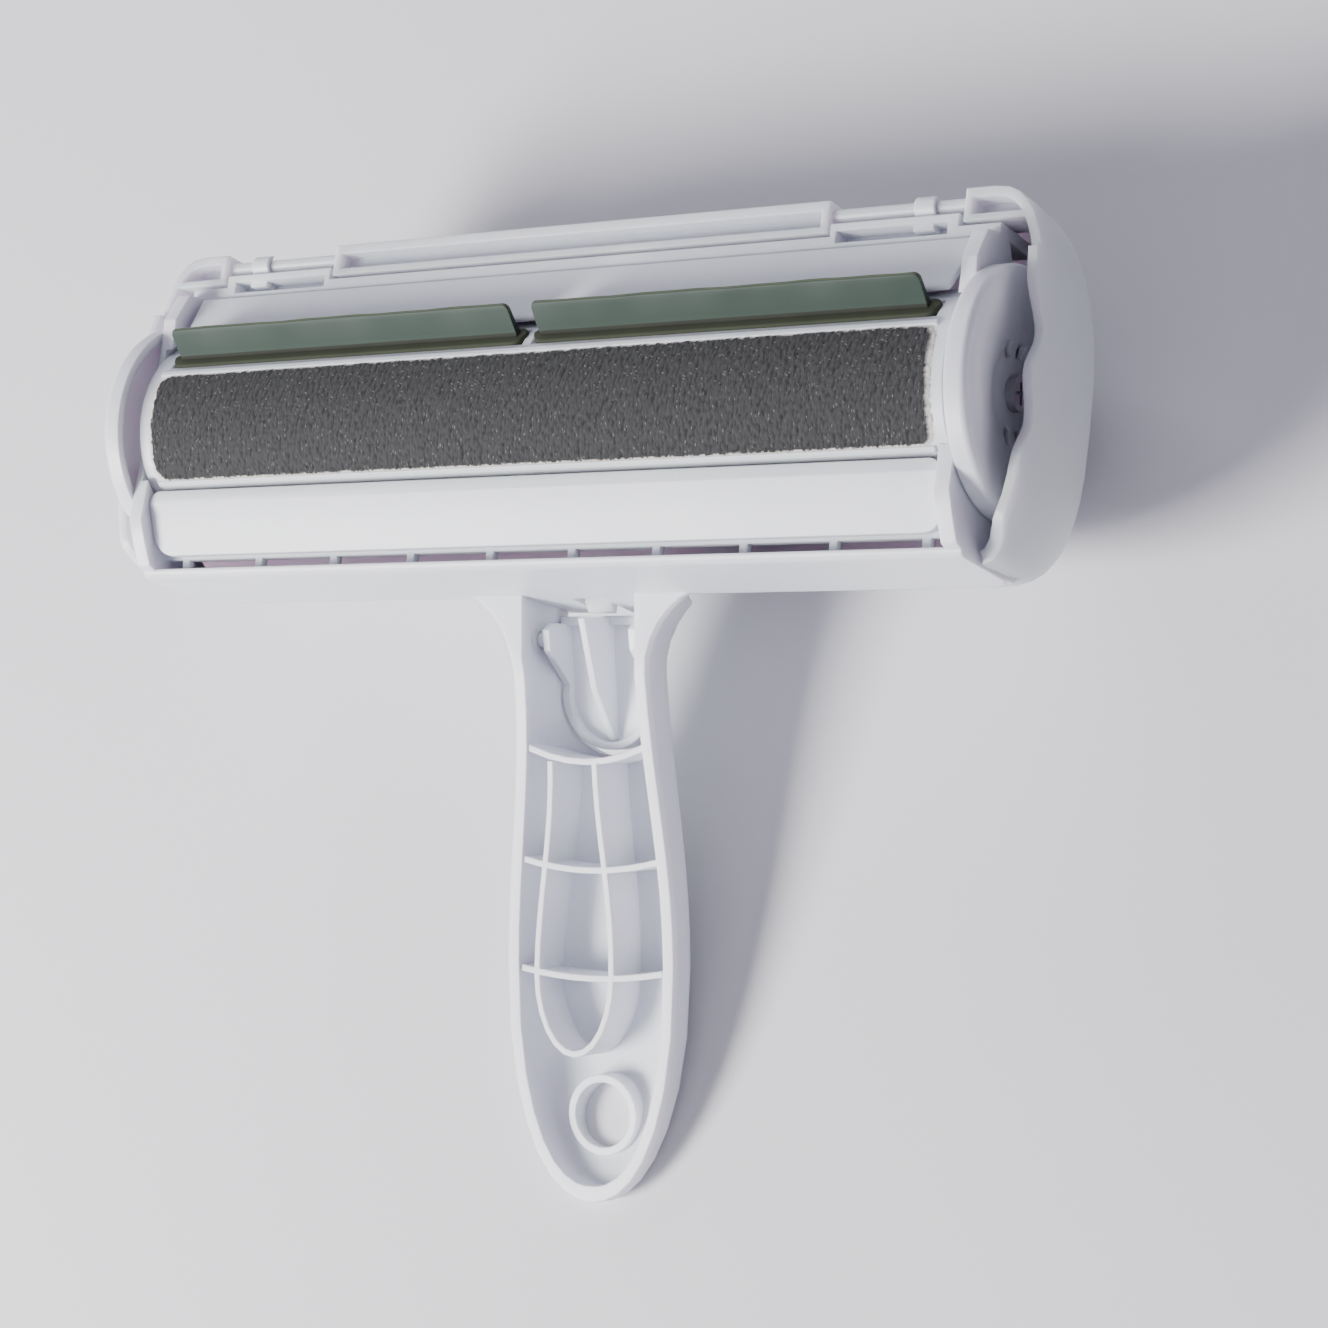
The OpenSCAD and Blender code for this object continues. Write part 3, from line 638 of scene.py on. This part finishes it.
@dataclass
class VelvetPad:
    """The lint velvet on the roller: slanted bundles of pile inside a pale frayed edge.

    The pad is half_length_mm to each end and half_angle_deg to each side of its middle. Bundles of
    pile stand pitch_x_mm apart along the roller and pitch_v_mm round it, each moved by up to half of
    jitter of that. The cut edge wanders over ragged_mm, in steps of the sizes in rag_cells_mm.
    """

    roller: RollerFrame
    material: Material
    tube_mm: float = 18.7
    cloth_mm: float = 0.4
    pile_mm: float = 0.26
    half_length_mm: float = 86.2
    half_angle_deg: float = 32.9
    corner_mm: float = 2.8
    border_mm: float = 0.9
    backing_mm: float = 0.16
    cell_mm: float = 0.27
    pitch_x_mm: float = 0.72
    pitch_v_mm: float = 1.1
    jitter: float = 0.7
    row_shift: float = 0.37
    slant: float = 0.3
    slant_middle: float = 0.3
    bundle_mm: tuple[float, float] = (0.26, 0.62)
    bundle_fall: float = 0.8
    bundle_least: float = 0.5
    bundle_seeds: tuple[int, int, int] = (1, 2, 3)
    ragged_mm: float = 0.34
    rag_cells_mm: tuple[float, float] = (0.4, 1.1)
    rag_seeds: tuple[int, int] = (5, 7)
    rag_coarse: float = 0.6
    rag_lift_mm: float = 0.06
    edge_rise_mm: float = 0.28
    fray_start_mm: float = 0.2
    fray_rise_mm: float = 0.3
    sunk_mm: float = 0.05
    under_mm: float = 0.06
    under_rows: int = 8
    far_start_mm: float = -1.5
    far_width_mm: float = 6.0

    def bundles(self, u: np.ndarray, v: np.ndarray) -> np.ndarray:
        """Height of the pile at places on the cloth.

        Formula: bundles stand on a brick lattice, each moved by its own noise. A bundle is a bump
        that falls with the square of the distance, longer round the roller than along it. The
        highest bundle at a place gives its height.

        Args:
            u: places along the roller in mm.
            v: places round the roller in mm.

        Returns:
            Heights from 0 to 1.
        """
        wide, long = self.bundle_mm
        row = np.floor(v / self.pitch_v_mm)
        best = np.zeros_like(u)
        for step_v in (-1, 0, 1):
            line = row + step_v
            shift = self.row_shift * line
            column = np.floor(u / self.pitch_x_mm - shift)
            for step_u in (-1, 0, 1):
                cell = column + step_u
                n1, n2, n3 = (noise(cell, line, np.full_like(u, k)) for k in self.bundle_seeds)
                du = u - (cell + shift + 0.5 + self.jitter * (n1 - 0.5)) * self.pitch_x_mm
                dv = v - (line + 0.5 + self.jitter * (n2 - 0.5)) * self.pitch_v_mm
                lean = self.slant * (n1 - self.slant_middle)
                away = ((du - lean * dv) / wide) ** 2 + (dv / long) ** 2
                top = self.bundle_least + (1 - self.bundle_least) * n3
                best = np.maximum(best, top * np.exp(-self.bundle_fall * away))
        return best

    def rag(self, u: np.ndarray, v: np.ndarray) -> np.ndarray:
        """How far the cut edge wanders at places on the cloth, as a share of ragged_mm.

        Formula: one step of noise for each small cell and a weaker one for each large cell.

        Args:
            u: places along the roller in mm.
            v: places round the roller in mm.

        Returns:
            Values about 0.
        """
        small, large = (noise(np.floor(u / cell), np.floor(v / cell), np.full_like(u, seed)) - 0.5
                        for cell, seed in zip(self.rag_cells_mm, self.rag_seeds))
        return small + self.rag_coarse * large

    def inside(self, u: np.ndarray, v: np.ndarray, arc_mm: float) -> np.ndarray:
        """Distance of places from the pile's edge, a rectangle with round corners.

        Args:
            u: places along the roller in mm.
            v: places round the roller in mm.
            arc_mm: half the pile's width round the roller.

        Returns:
            Millimetres, positive inside.
        """
        a = np.abs(u) - (self.half_length_mm - self.corner_mm)
        b = np.abs(v) - (arc_mm - self.corner_mm)
        corner = np.hypot(np.clip(a, 0, None), np.clip(b, 0, None))
        return self.corner_mm - corner - np.clip(np.maximum(a, b), None, 0)

    def skin_faces(self, rows: int, columns: int) -> list[list[int]]:
        """Faces of the closed skin: the upper grid, the rows under it, their seam and both ends.

        Args:
            rows: how many rows the upper side has.
            columns: how many points a row has.

        Returns:
            The vertex numbers of each face.
        """
        all_rows = rows + self.under_rows
        first = np.arange(columns - 1)
        last = first + (all_rows - 1) * columns
        seam = np.stack([last, last + 1, first + 1, first], axis=-1)
        quads = np.concatenate([grid_faces(all_rows, columns), seam])
        left = np.arange(all_rows) * columns
        return quads.tolist() + [left.tolist(), (left[::-1] + columns - 1).tolist()]

    def build(self) -> Piece:
        """Makes the pad as one skin of height over the tube and returns it.

        Formula: at u along the roller and v round it, the radius is the tube plus the backing. Inside
        the pile's edge, which wanders by noise over a third of a millimetre, it rises by the cloth and
        the bundles' height. Beyond the edge the backing shows for the border's width and runs out. A
        few rows just inside the tube's surface run back under it and close it.
        """
        arc_mm = self.tube_mm * math.radians(self.half_angle_deg)
        wide, high = self.half_length_mm + self.border_mm, arc_mm + self.border_mm
        columns, rows = int(2 * wide / self.cell_mm), int(2 * high / self.cell_mm)
        u, v = np.meshgrid(np.linspace(-wide, wide, columns), np.linspace(-high, high, rows))
        rag = self.rag(u, v)
        rim = self.inside(u, v, arc_mm) + self.ragged_mm * rag
        pile = np.clip(rim / self.edge_rise_mm, 0, 1)
        fray = np.clip((rim + self.border_mm - self.fray_start_mm) / self.fray_rise_mm, 0, 1)
        height = self.bundles(u, v)
        radius = (self.tube_mm - self.sunk_mm
                  + fray * (self.backing_mm + self.sunk_mm + self.rag_lift_mm * rag)
                  + pile * (self.cloth_mm - self.backing_mm + self.pile_mm * height))
        under = np.linspace(high, -high, self.under_rows + 2)[1:-1, None] + 0 * u[:1]
        u, v = np.concatenate([u, u[:self.under_rows]]), np.concatenate([v, under])
        radius = np.concatenate([radius, 0 * under + self.tube_mm - self.under_mm])
        pile, height = (np.concatenate([a, 0 * under]) for a in (pile, height))
        points = self.roller.place(u, v / self.tube_mm, radius).reshape(-1, 3)
        piece = mesh_piece("velvet_pile", points, self.skin_faces(rows, columns), self.material)
        turn_outward(piece)
        store(piece, "pile", height)
        store(piece, "far", np.clip((v - self.far_start_mm) / self.far_width_mm, 0, 1))
        store(piece, "bare", 1 - pile)
        self.unroll(piece.data, u, v)
        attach(piece, "roller")
        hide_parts("fabric_pad")
        return piece

    def unroll(self, mesh: Mesh, u: np.ndarray, v: np.ndarray) -> None:
        """Lays the cloth out flat in millimetres as the UV map that its finish reads.

        Args:
            mesh: the pad's mesh.
            u: places of its vertices along the roller.
            v: places of its vertices round the roller.
        """
        corner = np.empty(len(mesh.loops), np.int32)
        mesh.loops.foreach_get("vertex_index", corner)
        flat = np.stack([u.ravel(), v.ravel()], -1)[corner].astype(np.float32)
        mesh.uv_layers.new(name="cloth").data.foreach_set("uv", flat.ravel())


@dataclass
class RubberBlade:
    """One soft blade: a rounded foot let into the tube and a thin lip that stands on it.

    A blade with a fold_mm lies bent round the tube that high over its foot, as it does under a lip
    of the head. flat_share and tip_share are the shares of the lip's height where its straight faces
    begin and end.
    """

    roller: RollerFrame
    material: Material
    name: str
    node: str
    side: Side
    angle_deg: float
    foot_radius_mm: float = 19.4
    foot_half_mm: float = 2.54
    foot_depth_mm: float = 1.3
    foot_x_mm: tuple[float, float] = (1.0, 85.5)
    foot_end_mm: float = 2.5
    foot_end_least: float = 0.12
    foot_corner_mm: float = 0.45
    fillet_mm: float = 0.55
    lip_mm: float = 6.5
    lip_root_mm: float = 0.72
    lip_tip_mm: float = 0.45
    lip_x_mm: tuple[float, float] = (2.6, 83.4)
    lip_corner_mm: float = 1.1
    lip_corner_fall: float = 0.17
    lip_step_mm: float = 0.02
    lip_inset_mm: float = 2.0
    lip_points: int = 60
    end_points: int = 9
    arc_points: int = 6
    flank_points: int = 7
    flat_share: float = 0.15
    tip_share: float = 0.93
    lean_mm: float = 0.35
    waves: tuple[tuple[float, float], tuple[float, float]] = ((0.12, 0.21), (0.07, 0.53))
    upright_mm: float = 0.6
    fold_mm: float = 0.0
    fold_rise_mm: float = 1.2
    fold_lean_mm: float = 1.0
    fold_thickness: float = 0.55
    foot_tone: float = 0.03
    root_tone: float = 0.2
    face_tone: float = 0.6
    foot_share: float = 0.001
    root_share: float = 0.1
    tip_tone_share: float = 0.98
    keep: float = 0.08
    anchor_mm: float = 19.4

    def section(self) -> tuple[np.ndarray, np.ndarray, np.ndarray]:
        """The blade's outline across its length, anticlockwise from the foot's lower left.

        Formula: straight runs joined by quarter circles at the foot's corners, a fillet at the
        lip's root and half a circle at its tip.

        Returns:
            Offsets across in mm, the share of the lip's height reached, and foot heights in mm.
        """
        turn = np.linspace(0, np.pi / 2, self.arc_points)
        half, root, tip = self.foot_half_mm, self.lip_root_mm, self.lip_tip_mm
        corner, fillet = self.foot_corner_mm, self.fillet_mm
        flank = np.linspace(self.flat_share, self.tip_share, self.flank_points, endpoint=False)
        right = [np.stack([half - corner + corner * np.cos(turn), 0 * turn,
                           -corner + corner * np.sin(turn)], -1),
                 np.stack([root + fillet - fillet * np.sin(turn),
                           fillet * (1 - np.cos(turn)) / self.lip_mm, 0 * turn], -1),
                 np.stack([root + (tip - root) * flank / self.tip_share, flank, 0 * flank], -1),
                 np.stack([tip * np.cos(turn), 1 - (1 - self.tip_share) * (1 - np.sin(turn)),
                           0 * turn], -1)]
        upper = np.concatenate(right)
        mirrored = upper[::-1][1:] * np.array([-1, 1, 1])
        base = np.array([[half, 0, -self.foot_depth_mm]])
        loop = np.concatenate([base, upper, mirrored, base * np.array([-1, 1, 1])])
        return loop[:, 0], loop[:, 1], loop[:, 2]

    def stations(self) -> np.ndarray:
        """Places along the roller where the outline is set, closer where an end is rounded.

        Returns:
            Millimetres from the roller's middle, rising.
        """
        (f0, f1), (l0, l1) = self.foot_x_mm, self.lip_x_mm
        ease = 1 - np.cos(np.linspace(0, np.pi / 2, self.end_points))
        middle = np.linspace(l0 + self.lip_inset_mm, l1 - self.lip_inset_mm, self.lip_points)
        x = np.concatenate([f0 + self.foot_end_mm * ease, [l0 - self.lip_step_mm],
                            l0 + self.lip_corner_mm * ease, middle, l1 - self.lip_corner_mm * ease,
                            [l1 + self.lip_step_mm], f1 - self.foot_end_mm * ease])
        return np.unique(np.round(x, 4))

    def points(self, x: np.ndarray) -> np.ndarray:
        """Carries the outline along the roller.

        Formula: along x the foot narrows as half a circle at each end, and the lip's height
        falls as a quarter circle and then to nothing at its own ends. Across, the foot drops with
        the square of the offset, as the tube does. A standing lip leans and waves a little with the
        square of its height. A folded lip bends round the tube: its height turns into an angle and
        it lies at a fixed step above the foot.

        Args:
            x: the stations.

        Returns:
            Points in metres, by station and by place on the outline.
        """
        across, share, drop = self.section()
        from_foot = np.minimum(x - self.foot_x_mm[0], self.foot_x_mm[1] - x)
        from_lip = self.from_lip(x)
        narrow = np.clip(quarter_fall(from_foot / self.foot_end_mm), self.foot_end_least, 1)
        rounded = 1 - self.lip_corner_fall * (1 - quarter_fall(from_lip / self.lip_corner_mm))
        lip = self.lip_mm * np.where(from_lip < 0, 0.0, rounded)[:, None] * share[None, :]
        on_lip = (share[None, :] > self.foot_share) & (from_lip[:, None] >= 0)
        wide = across[None, :] * np.where(on_lip, 1.0, narrow[:, None])
        angle = math.radians(self.angle_deg)
        if self.fold_mm:
            bend = np.clip(lip - self.upright_mm, 0, None)
            angle = angle - bend / self.foot_radius_mm
            rise = np.minimum(lip, self.upright_mm) + self.fold_mm * np.clip(bend / self.fold_rise_mm, 0, 1)
            lean = np.clip(bend / self.fold_lean_mm, 0, 1)
            radius = self.foot_radius_mm + drop[None, :] + rise + wide * lean * self.fold_thickness
            wide = wide * (1 - lean)
        else:
            (high_1, turn_1), (high_2, turn_2) = self.waves
            wave = high_1 * np.sin(x * turn_1 + self.side.value) + high_2 * np.sin(x * turn_2)
            radius = self.foot_radius_mm + drop[None, :] + lip
            wide = wide + (wave[:, None] + self.lean_mm) * (lip / self.lip_mm) ** 2
        radius = radius - across[None, :] ** 2 / (2 * self.foot_radius_mm)
        along = np.broadcast_to(self.side.value * x[:, None], lip.shape)
        return self.roller.place(along, angle + wide / radius, radius)

    def from_lip(self, x: np.ndarray) -> np.ndarray:
        """How far each station is inside the lip's nearer end in mm, negative beyond it."""
        return np.minimum(x - self.lip_x_mm[0], self.lip_x_mm[1] - x)

    def tones(self, x: np.ndarray) -> np.ndarray:
        """Which part of the blade each point is on, as the number that its finish reads.

        Args:
            x: the stations.

        Returns:
            Tones by station and by place on the outline.
        """
        share = self.section()[1]
        # the root's tone picks the finish's painted shade, the tip's its painted highlight
        tone = np.select([share < self.foot_share, share < self.root_share, share > self.tip_tone_share],
                         [self.foot_tone, self.root_tone, 1.0], self.face_tone)
        return np.where(self.from_lip(x)[:, None] < 0, self.foot_tone, tone[None, :])

    def build(self) -> Piece:
        """Makes the blade and returns it."""
        x = self.stations()
        points = self.points(x)
        rows, columns = points.shape[:2]
        piece = mesh_piece(self.name, points.reshape(-1, 3),
                           grid_faces(rows, columns, closed=True).tolist(), self.material)
        store(piece, "tone", self.tones(x))
        fan = np.stack([np.zeros(columns - 2, int), np.arange(1, columns - 1), np.arange(2, columns)], -1)
        close_ends(piece, np.concatenate([fan, (fan + (rows - 1) * columns)[:, ::-1]]))
        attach(piece, "roller")
        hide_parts(self.node)
        middle = self.roller.place(np.zeros(1), np.radians([self.angle_deg]), np.array([self.anchor_mm]))[0]
        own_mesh(piece)
        return piece


@dataclass
class ShellPiece:
    """A moulded piece of the solid model, welded and shaded smooth, with its own finish.

    edge_mm rounds every edge, and corner_mm rounds the far corners in plan. Both are 0 where the
    solid has its roundings already.
    """

    node: str
    name: str
    body: str
    material: Material
    sharp_deg: float = 31.0
    edge_mm: float = 0.0
    edge_segments: int = 3
    corner_mm: float = 0.0
    corner_segments: int = 6
    wall_most_mm: float = 2.0
    weld_m: float = 3e-6
    level_m: float = 2e-5
    flat_deg: float = 0.5

    def welded(self) -> Mesh:
        """Makes a welded copy of the node's mesh, with its corners rounded if asked, and returns it."""
        mesh = frame["nodes"][self.node].data.copy()
        mesh.name = self.name
        if mesh.attributes.get("custom_normal"):
            mesh.attributes.remove(mesh.attributes["custom_normal"])
        work = bmesh.new()
        work.from_mesh(mesh)
        bmesh.ops.remove_doubles(work, verts=work.verts, dist=self.weld_m)
        bmesh.ops.dissolve_degenerate(work, edges=work.edges, dist=NO_EDGE_M)
        if self.edge_mm:
            bmesh.ops.dissolve_limit(work, angle_limit=math.radians(self.flat_deg), verts=work.verts,
                                     edges=work.edges)
        if self.corner_mm:
            tip = max(v.co.y for v in work.verts) - self.level_m
            far = [e for e in work.edges if min(v.co.y for v in e.verts) > tip]
            far = [e for e in far if e.calc_length() < self.wall_most_mm * MM]
            bmesh.ops.bevel(work, geom=far, offset=self.corner_mm * MM, segments=self.corner_segments,
                            profile=0.5, affect="EDGES", clamp_overlap=True)
        work.to_mesh(mesh)
        work.free()
        mesh.polygons.foreach_set("use_smooth", np.ones(len(mesh.polygons), bool))
        mesh.set_sharp_from_angle(angle=math.radians(self.sharp_deg))
        return mesh

    def build(self) -> Piece:
        """Makes the piece, rounds its edges if asked, and returns it."""
        mesh = self.welded()
        mesh.materials.clear()
        mesh.materials.append(self.material)
        piece = bpy.data.objects.new(self.name, mesh)
        bpy.context.scene.collection.objects.link(piece)
        if self.edge_mm:
            bevel = piece.modifiers.new("mould radius", "BEVEL")
            bevel.width = self.edge_mm * MM
            bevel.segments = self.edge_segments
            bevel.limit_method = "ANGLE"
            bevel.angle_limit = math.radians(self.sharp_deg)
        weigh = piece.modifiers.new("even shading", "WEIGHTED_NORMAL")
        weigh.keep_sharp = True
        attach(piece, self.body)
        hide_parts(self.node)
        return piece


@dataclass
class Roller:
    """Everything that rocks: tube, plugs, velvet, blades, wheels and their screws."""

    plastic: Material
    rubber: Material
    velvet: Material
    steel: Material
    blade_angle_deg: float = 48.2
    tube_edge_mm: float = 0.12
    rear_fold_mm: float = 0.3
    rear_keep: float = 0.28
    rear_anchor_mm: float = 18.9

    def build(self) -> list[Piece]:
        """Makes the roller's pieces and returns them."""
        place = RollerFrame.from_frame()
        pieces = [ShellPiece("drum", "tube", "roller", self.plastic, edge_mm=self.tube_edge_mm).build(),
                  VelvetPad(place, self.velvet).build()]
        for side in Side:
            label = side.name.lower()
            pieces += [ShellPiece(f"wheel_{label}", f"end_wheel_{label}", "roller", self.plastic).build(),
                       RubberBlade(place, self.rubber, f"front_blade_{label}", f"blade_front_{label}",
                                   side, self.blade_angle_deg).build(),
                       RubberBlade(place, self.rubber, f"rear_blade_{label}", f"blade_rear_{label}",
                                   side, -self.blade_angle_deg, fold_mm=self.rear_fold_mm,
                                   keep=self.rear_keep, anchor_mm=self.rear_anchor_mm).build()]
            self.dress(f"drum_cap_{label}", self.plastic)
            self.dress(f"wheel_screw_{label}", self.steel)
        return pieces

    def dress(self, node: str, material: Material) -> None:
        """Gives a solid that stays its finish.

        Args:
            node: the node's name.
            material: the finish.
        """
        mesh = frame["nodes"][node].data
        mesh.materials.clear()
        mesh.materials.append(material)


@dataclass
class HeadAndHandle:
    """The fixed mouldings, the lid and the release button."""

    plastic: Material
    # the lid's finish: the same ABS painted darker as painted shade
    thin_wall_painted_shade: Material
    strip_edge_mm: float = 0.25
    bar_corner_mm: float = 2.2

    def build(self) -> list[Piece]:
        """Makes the shells and returns them."""
        plan = [ShellPiece("housing", "frame_and_handle", "frame", self.plastic),
                ShellPiece("rear_bar", "rear_lip_bar", "frame", self.plastic, edge_mm=self.strip_edge_mm,
                           corner_mm=self.bar_corner_mm),
                ShellPiece("front_panel", "front_lip_panel", "frame", self.plastic,
                           edge_mm=self.strip_edge_mm),
                ShellPiece("lid", "chamber_cover", "chamber_lid", self.thin_wall_painted_shade),
                ShellPiece("release_button", "button_lever", "button", self.plastic)]
        return [shell.build() for shell in plan]


@dataclass(frozen=True)
class SoftLight:
    """One soft area light that looks at the head: its place and width in metres, power and colour."""

    name: str
    spot: tuple[float, float, float]
    width: float
    watts: float
    colour: str
    target: tuple[float, float, float] = (0.0, 0.0, 0.04)

    def build(self) -> Piece:
        """Makes the light and returns it."""
        data = bpy.data.lights.new(self.name, "AREA")
        data.size = self.width
        data.energy = self.watts
        data.color = linear(self.colour)[:3]
        lamp = bpy.data.objects.new(self.name, data)
        bpy.context.scene.collection.objects.link(lamp)
        toward = np.array(self.target) - np.array(self.spot)
        z = -toward / np.linalg.norm(toward)
        x = np.cross([0, 1, 0], z)
        x = x / np.linalg.norm(x)
        lamp.matrix_world = pose_matrix((x, np.cross(z, x), z), self.spot)
        return lamp


@dataclass
class Studio:
    """Pale floor, soft lights and the camera at the photograph's viewing angle.

    The camera looks at the plane of the handle, which leans below the opening's plane. Its turn
    is toward the brush's right end, and its shift keeps the photograph's framing.
    """

    lean_deg: float = 13.0
    turn_deg: float = 32.51
    rise_deg: float = -0.681
    distance_mm: float = 641.46
    right_mm: float = 18.165
    up_mm: float = -46.126
    focal_px: float = 3412.87
    frame_px: float = 1328.0
    film_mm: float = 36.0
    near_m: float = 0.01
    far_m: float = 20.0
    floor_half_m: float = 3.0
    sky: str = "#E6DEF2"
    sky_strength: float = 0.38
    lights: tuple[SoftLight, ...] = (
        SoftLight("key", (-0.75, -0.6, 0.85), 0.5, 36.0, "#FFFDFB"),
        SoftLight("fill", (0.2, -0.9, 1.1), 1.0, 3.0, "#EFE8FF"),
        SoftLight("back", (-0.5, 1.1, 0.6), 0.6, 5.0, "#F0F4FF"))

    def camera(self) -> Piece:
        """Makes the camera and returns it.

        Formula: in the handle's plane the view direction is turned and raised, its right and up
        follow, and the whole is leaned about the roller's axis and carried to it.
        """
        turn, rise, lean = (math.radians(d) for d in (self.turn_deg, self.rise_deg, self.lean_deg))
        back = np.array([math.sin(turn) * math.cos(rise), math.sin(rise), math.cos(turn) * math.cos(rise)])
        right = np.array([math.cos(turn), 0, -math.sin(turn)])
        up = np.cross(back, right)
        tip = np.array([[1, 0, 0], [0, math.cos(lean), -math.sin(lean)],
                        [0, math.sin(lean), math.cos(lean)]])
        place = RollerFrame.from_frame()
        spot = tip @ (self.distance_mm * back + self.right_mm * right + self.up_mm * up) * MM
        spot = spot + np.array([0, place.axis_y, place.axis_z])
        lens = bpy.data.cameras.new("camera")
        lens.sensor_width = self.film_mm
        lens.lens = self.film_mm * self.focal_px / self.frame_px
        lens.clip_start, lens.clip_end = self.near_m, self.far_m
        eye = bpy.data.objects.new("camera", lens)
        bpy.context.scene.collection.objects.link(eye)
        eye.matrix_world = pose_matrix((tip @ right, tip @ up, tip @ back), spot)
        bpy.context.scene.camera = eye
        return eye

    def build(self) -> None:
        """Makes the floor, the lights, the world and the camera."""
        corners = self.floor_half_m * np.array([[-1, -1, 0], [1, -1, 0], [1, 1, 0], [-1, 1, 0]])
        floor = mesh_piece("floor", corners, [[0, 1, 2, 3]], PaleFloor().build())
        for light in self.lights:
            light.build()
        world = bpy.data.worlds.new("studio")
        world.use_nodes = True
        settle(world.node_tree, world.node_tree.nodes["Background"],
               {"Color": linear(self.sky), "Strength": self.sky_strength}, {})
        bpy.context.scene.world = world
        self.camera()


def main() -> None:
    """Dresses the brush and sets the studio."""
    logging.basicConfig(level=logging.INFO)
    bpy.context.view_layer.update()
    Studio().build()
    plastic = MouldedPlastic().build()
    # the lid's plastic: the same ABS with darker colours as painted shade, and more light through its thin
    # wall
    thin_wall_painted_shade = MouldedPlastic(name="moulded_abs_thin_wall_painted_shade", light="#DBDEE4", dark="#D2D6DD",
                               glow=0.9, glow_mm=7.0).build()
    pieces = HeadAndHandle(plastic, thin_wall_painted_shade).build()
    pieces += Roller(plastic, MouldedRubber().build(), LintVelvet().build(),
                     ZincPlatedSteel().build()).build()
    for piece in pieces:
        LOG.info("%s: %d faces", piece.name, len(piece.data.polygons))


if __name__ == "__main__":
    main()
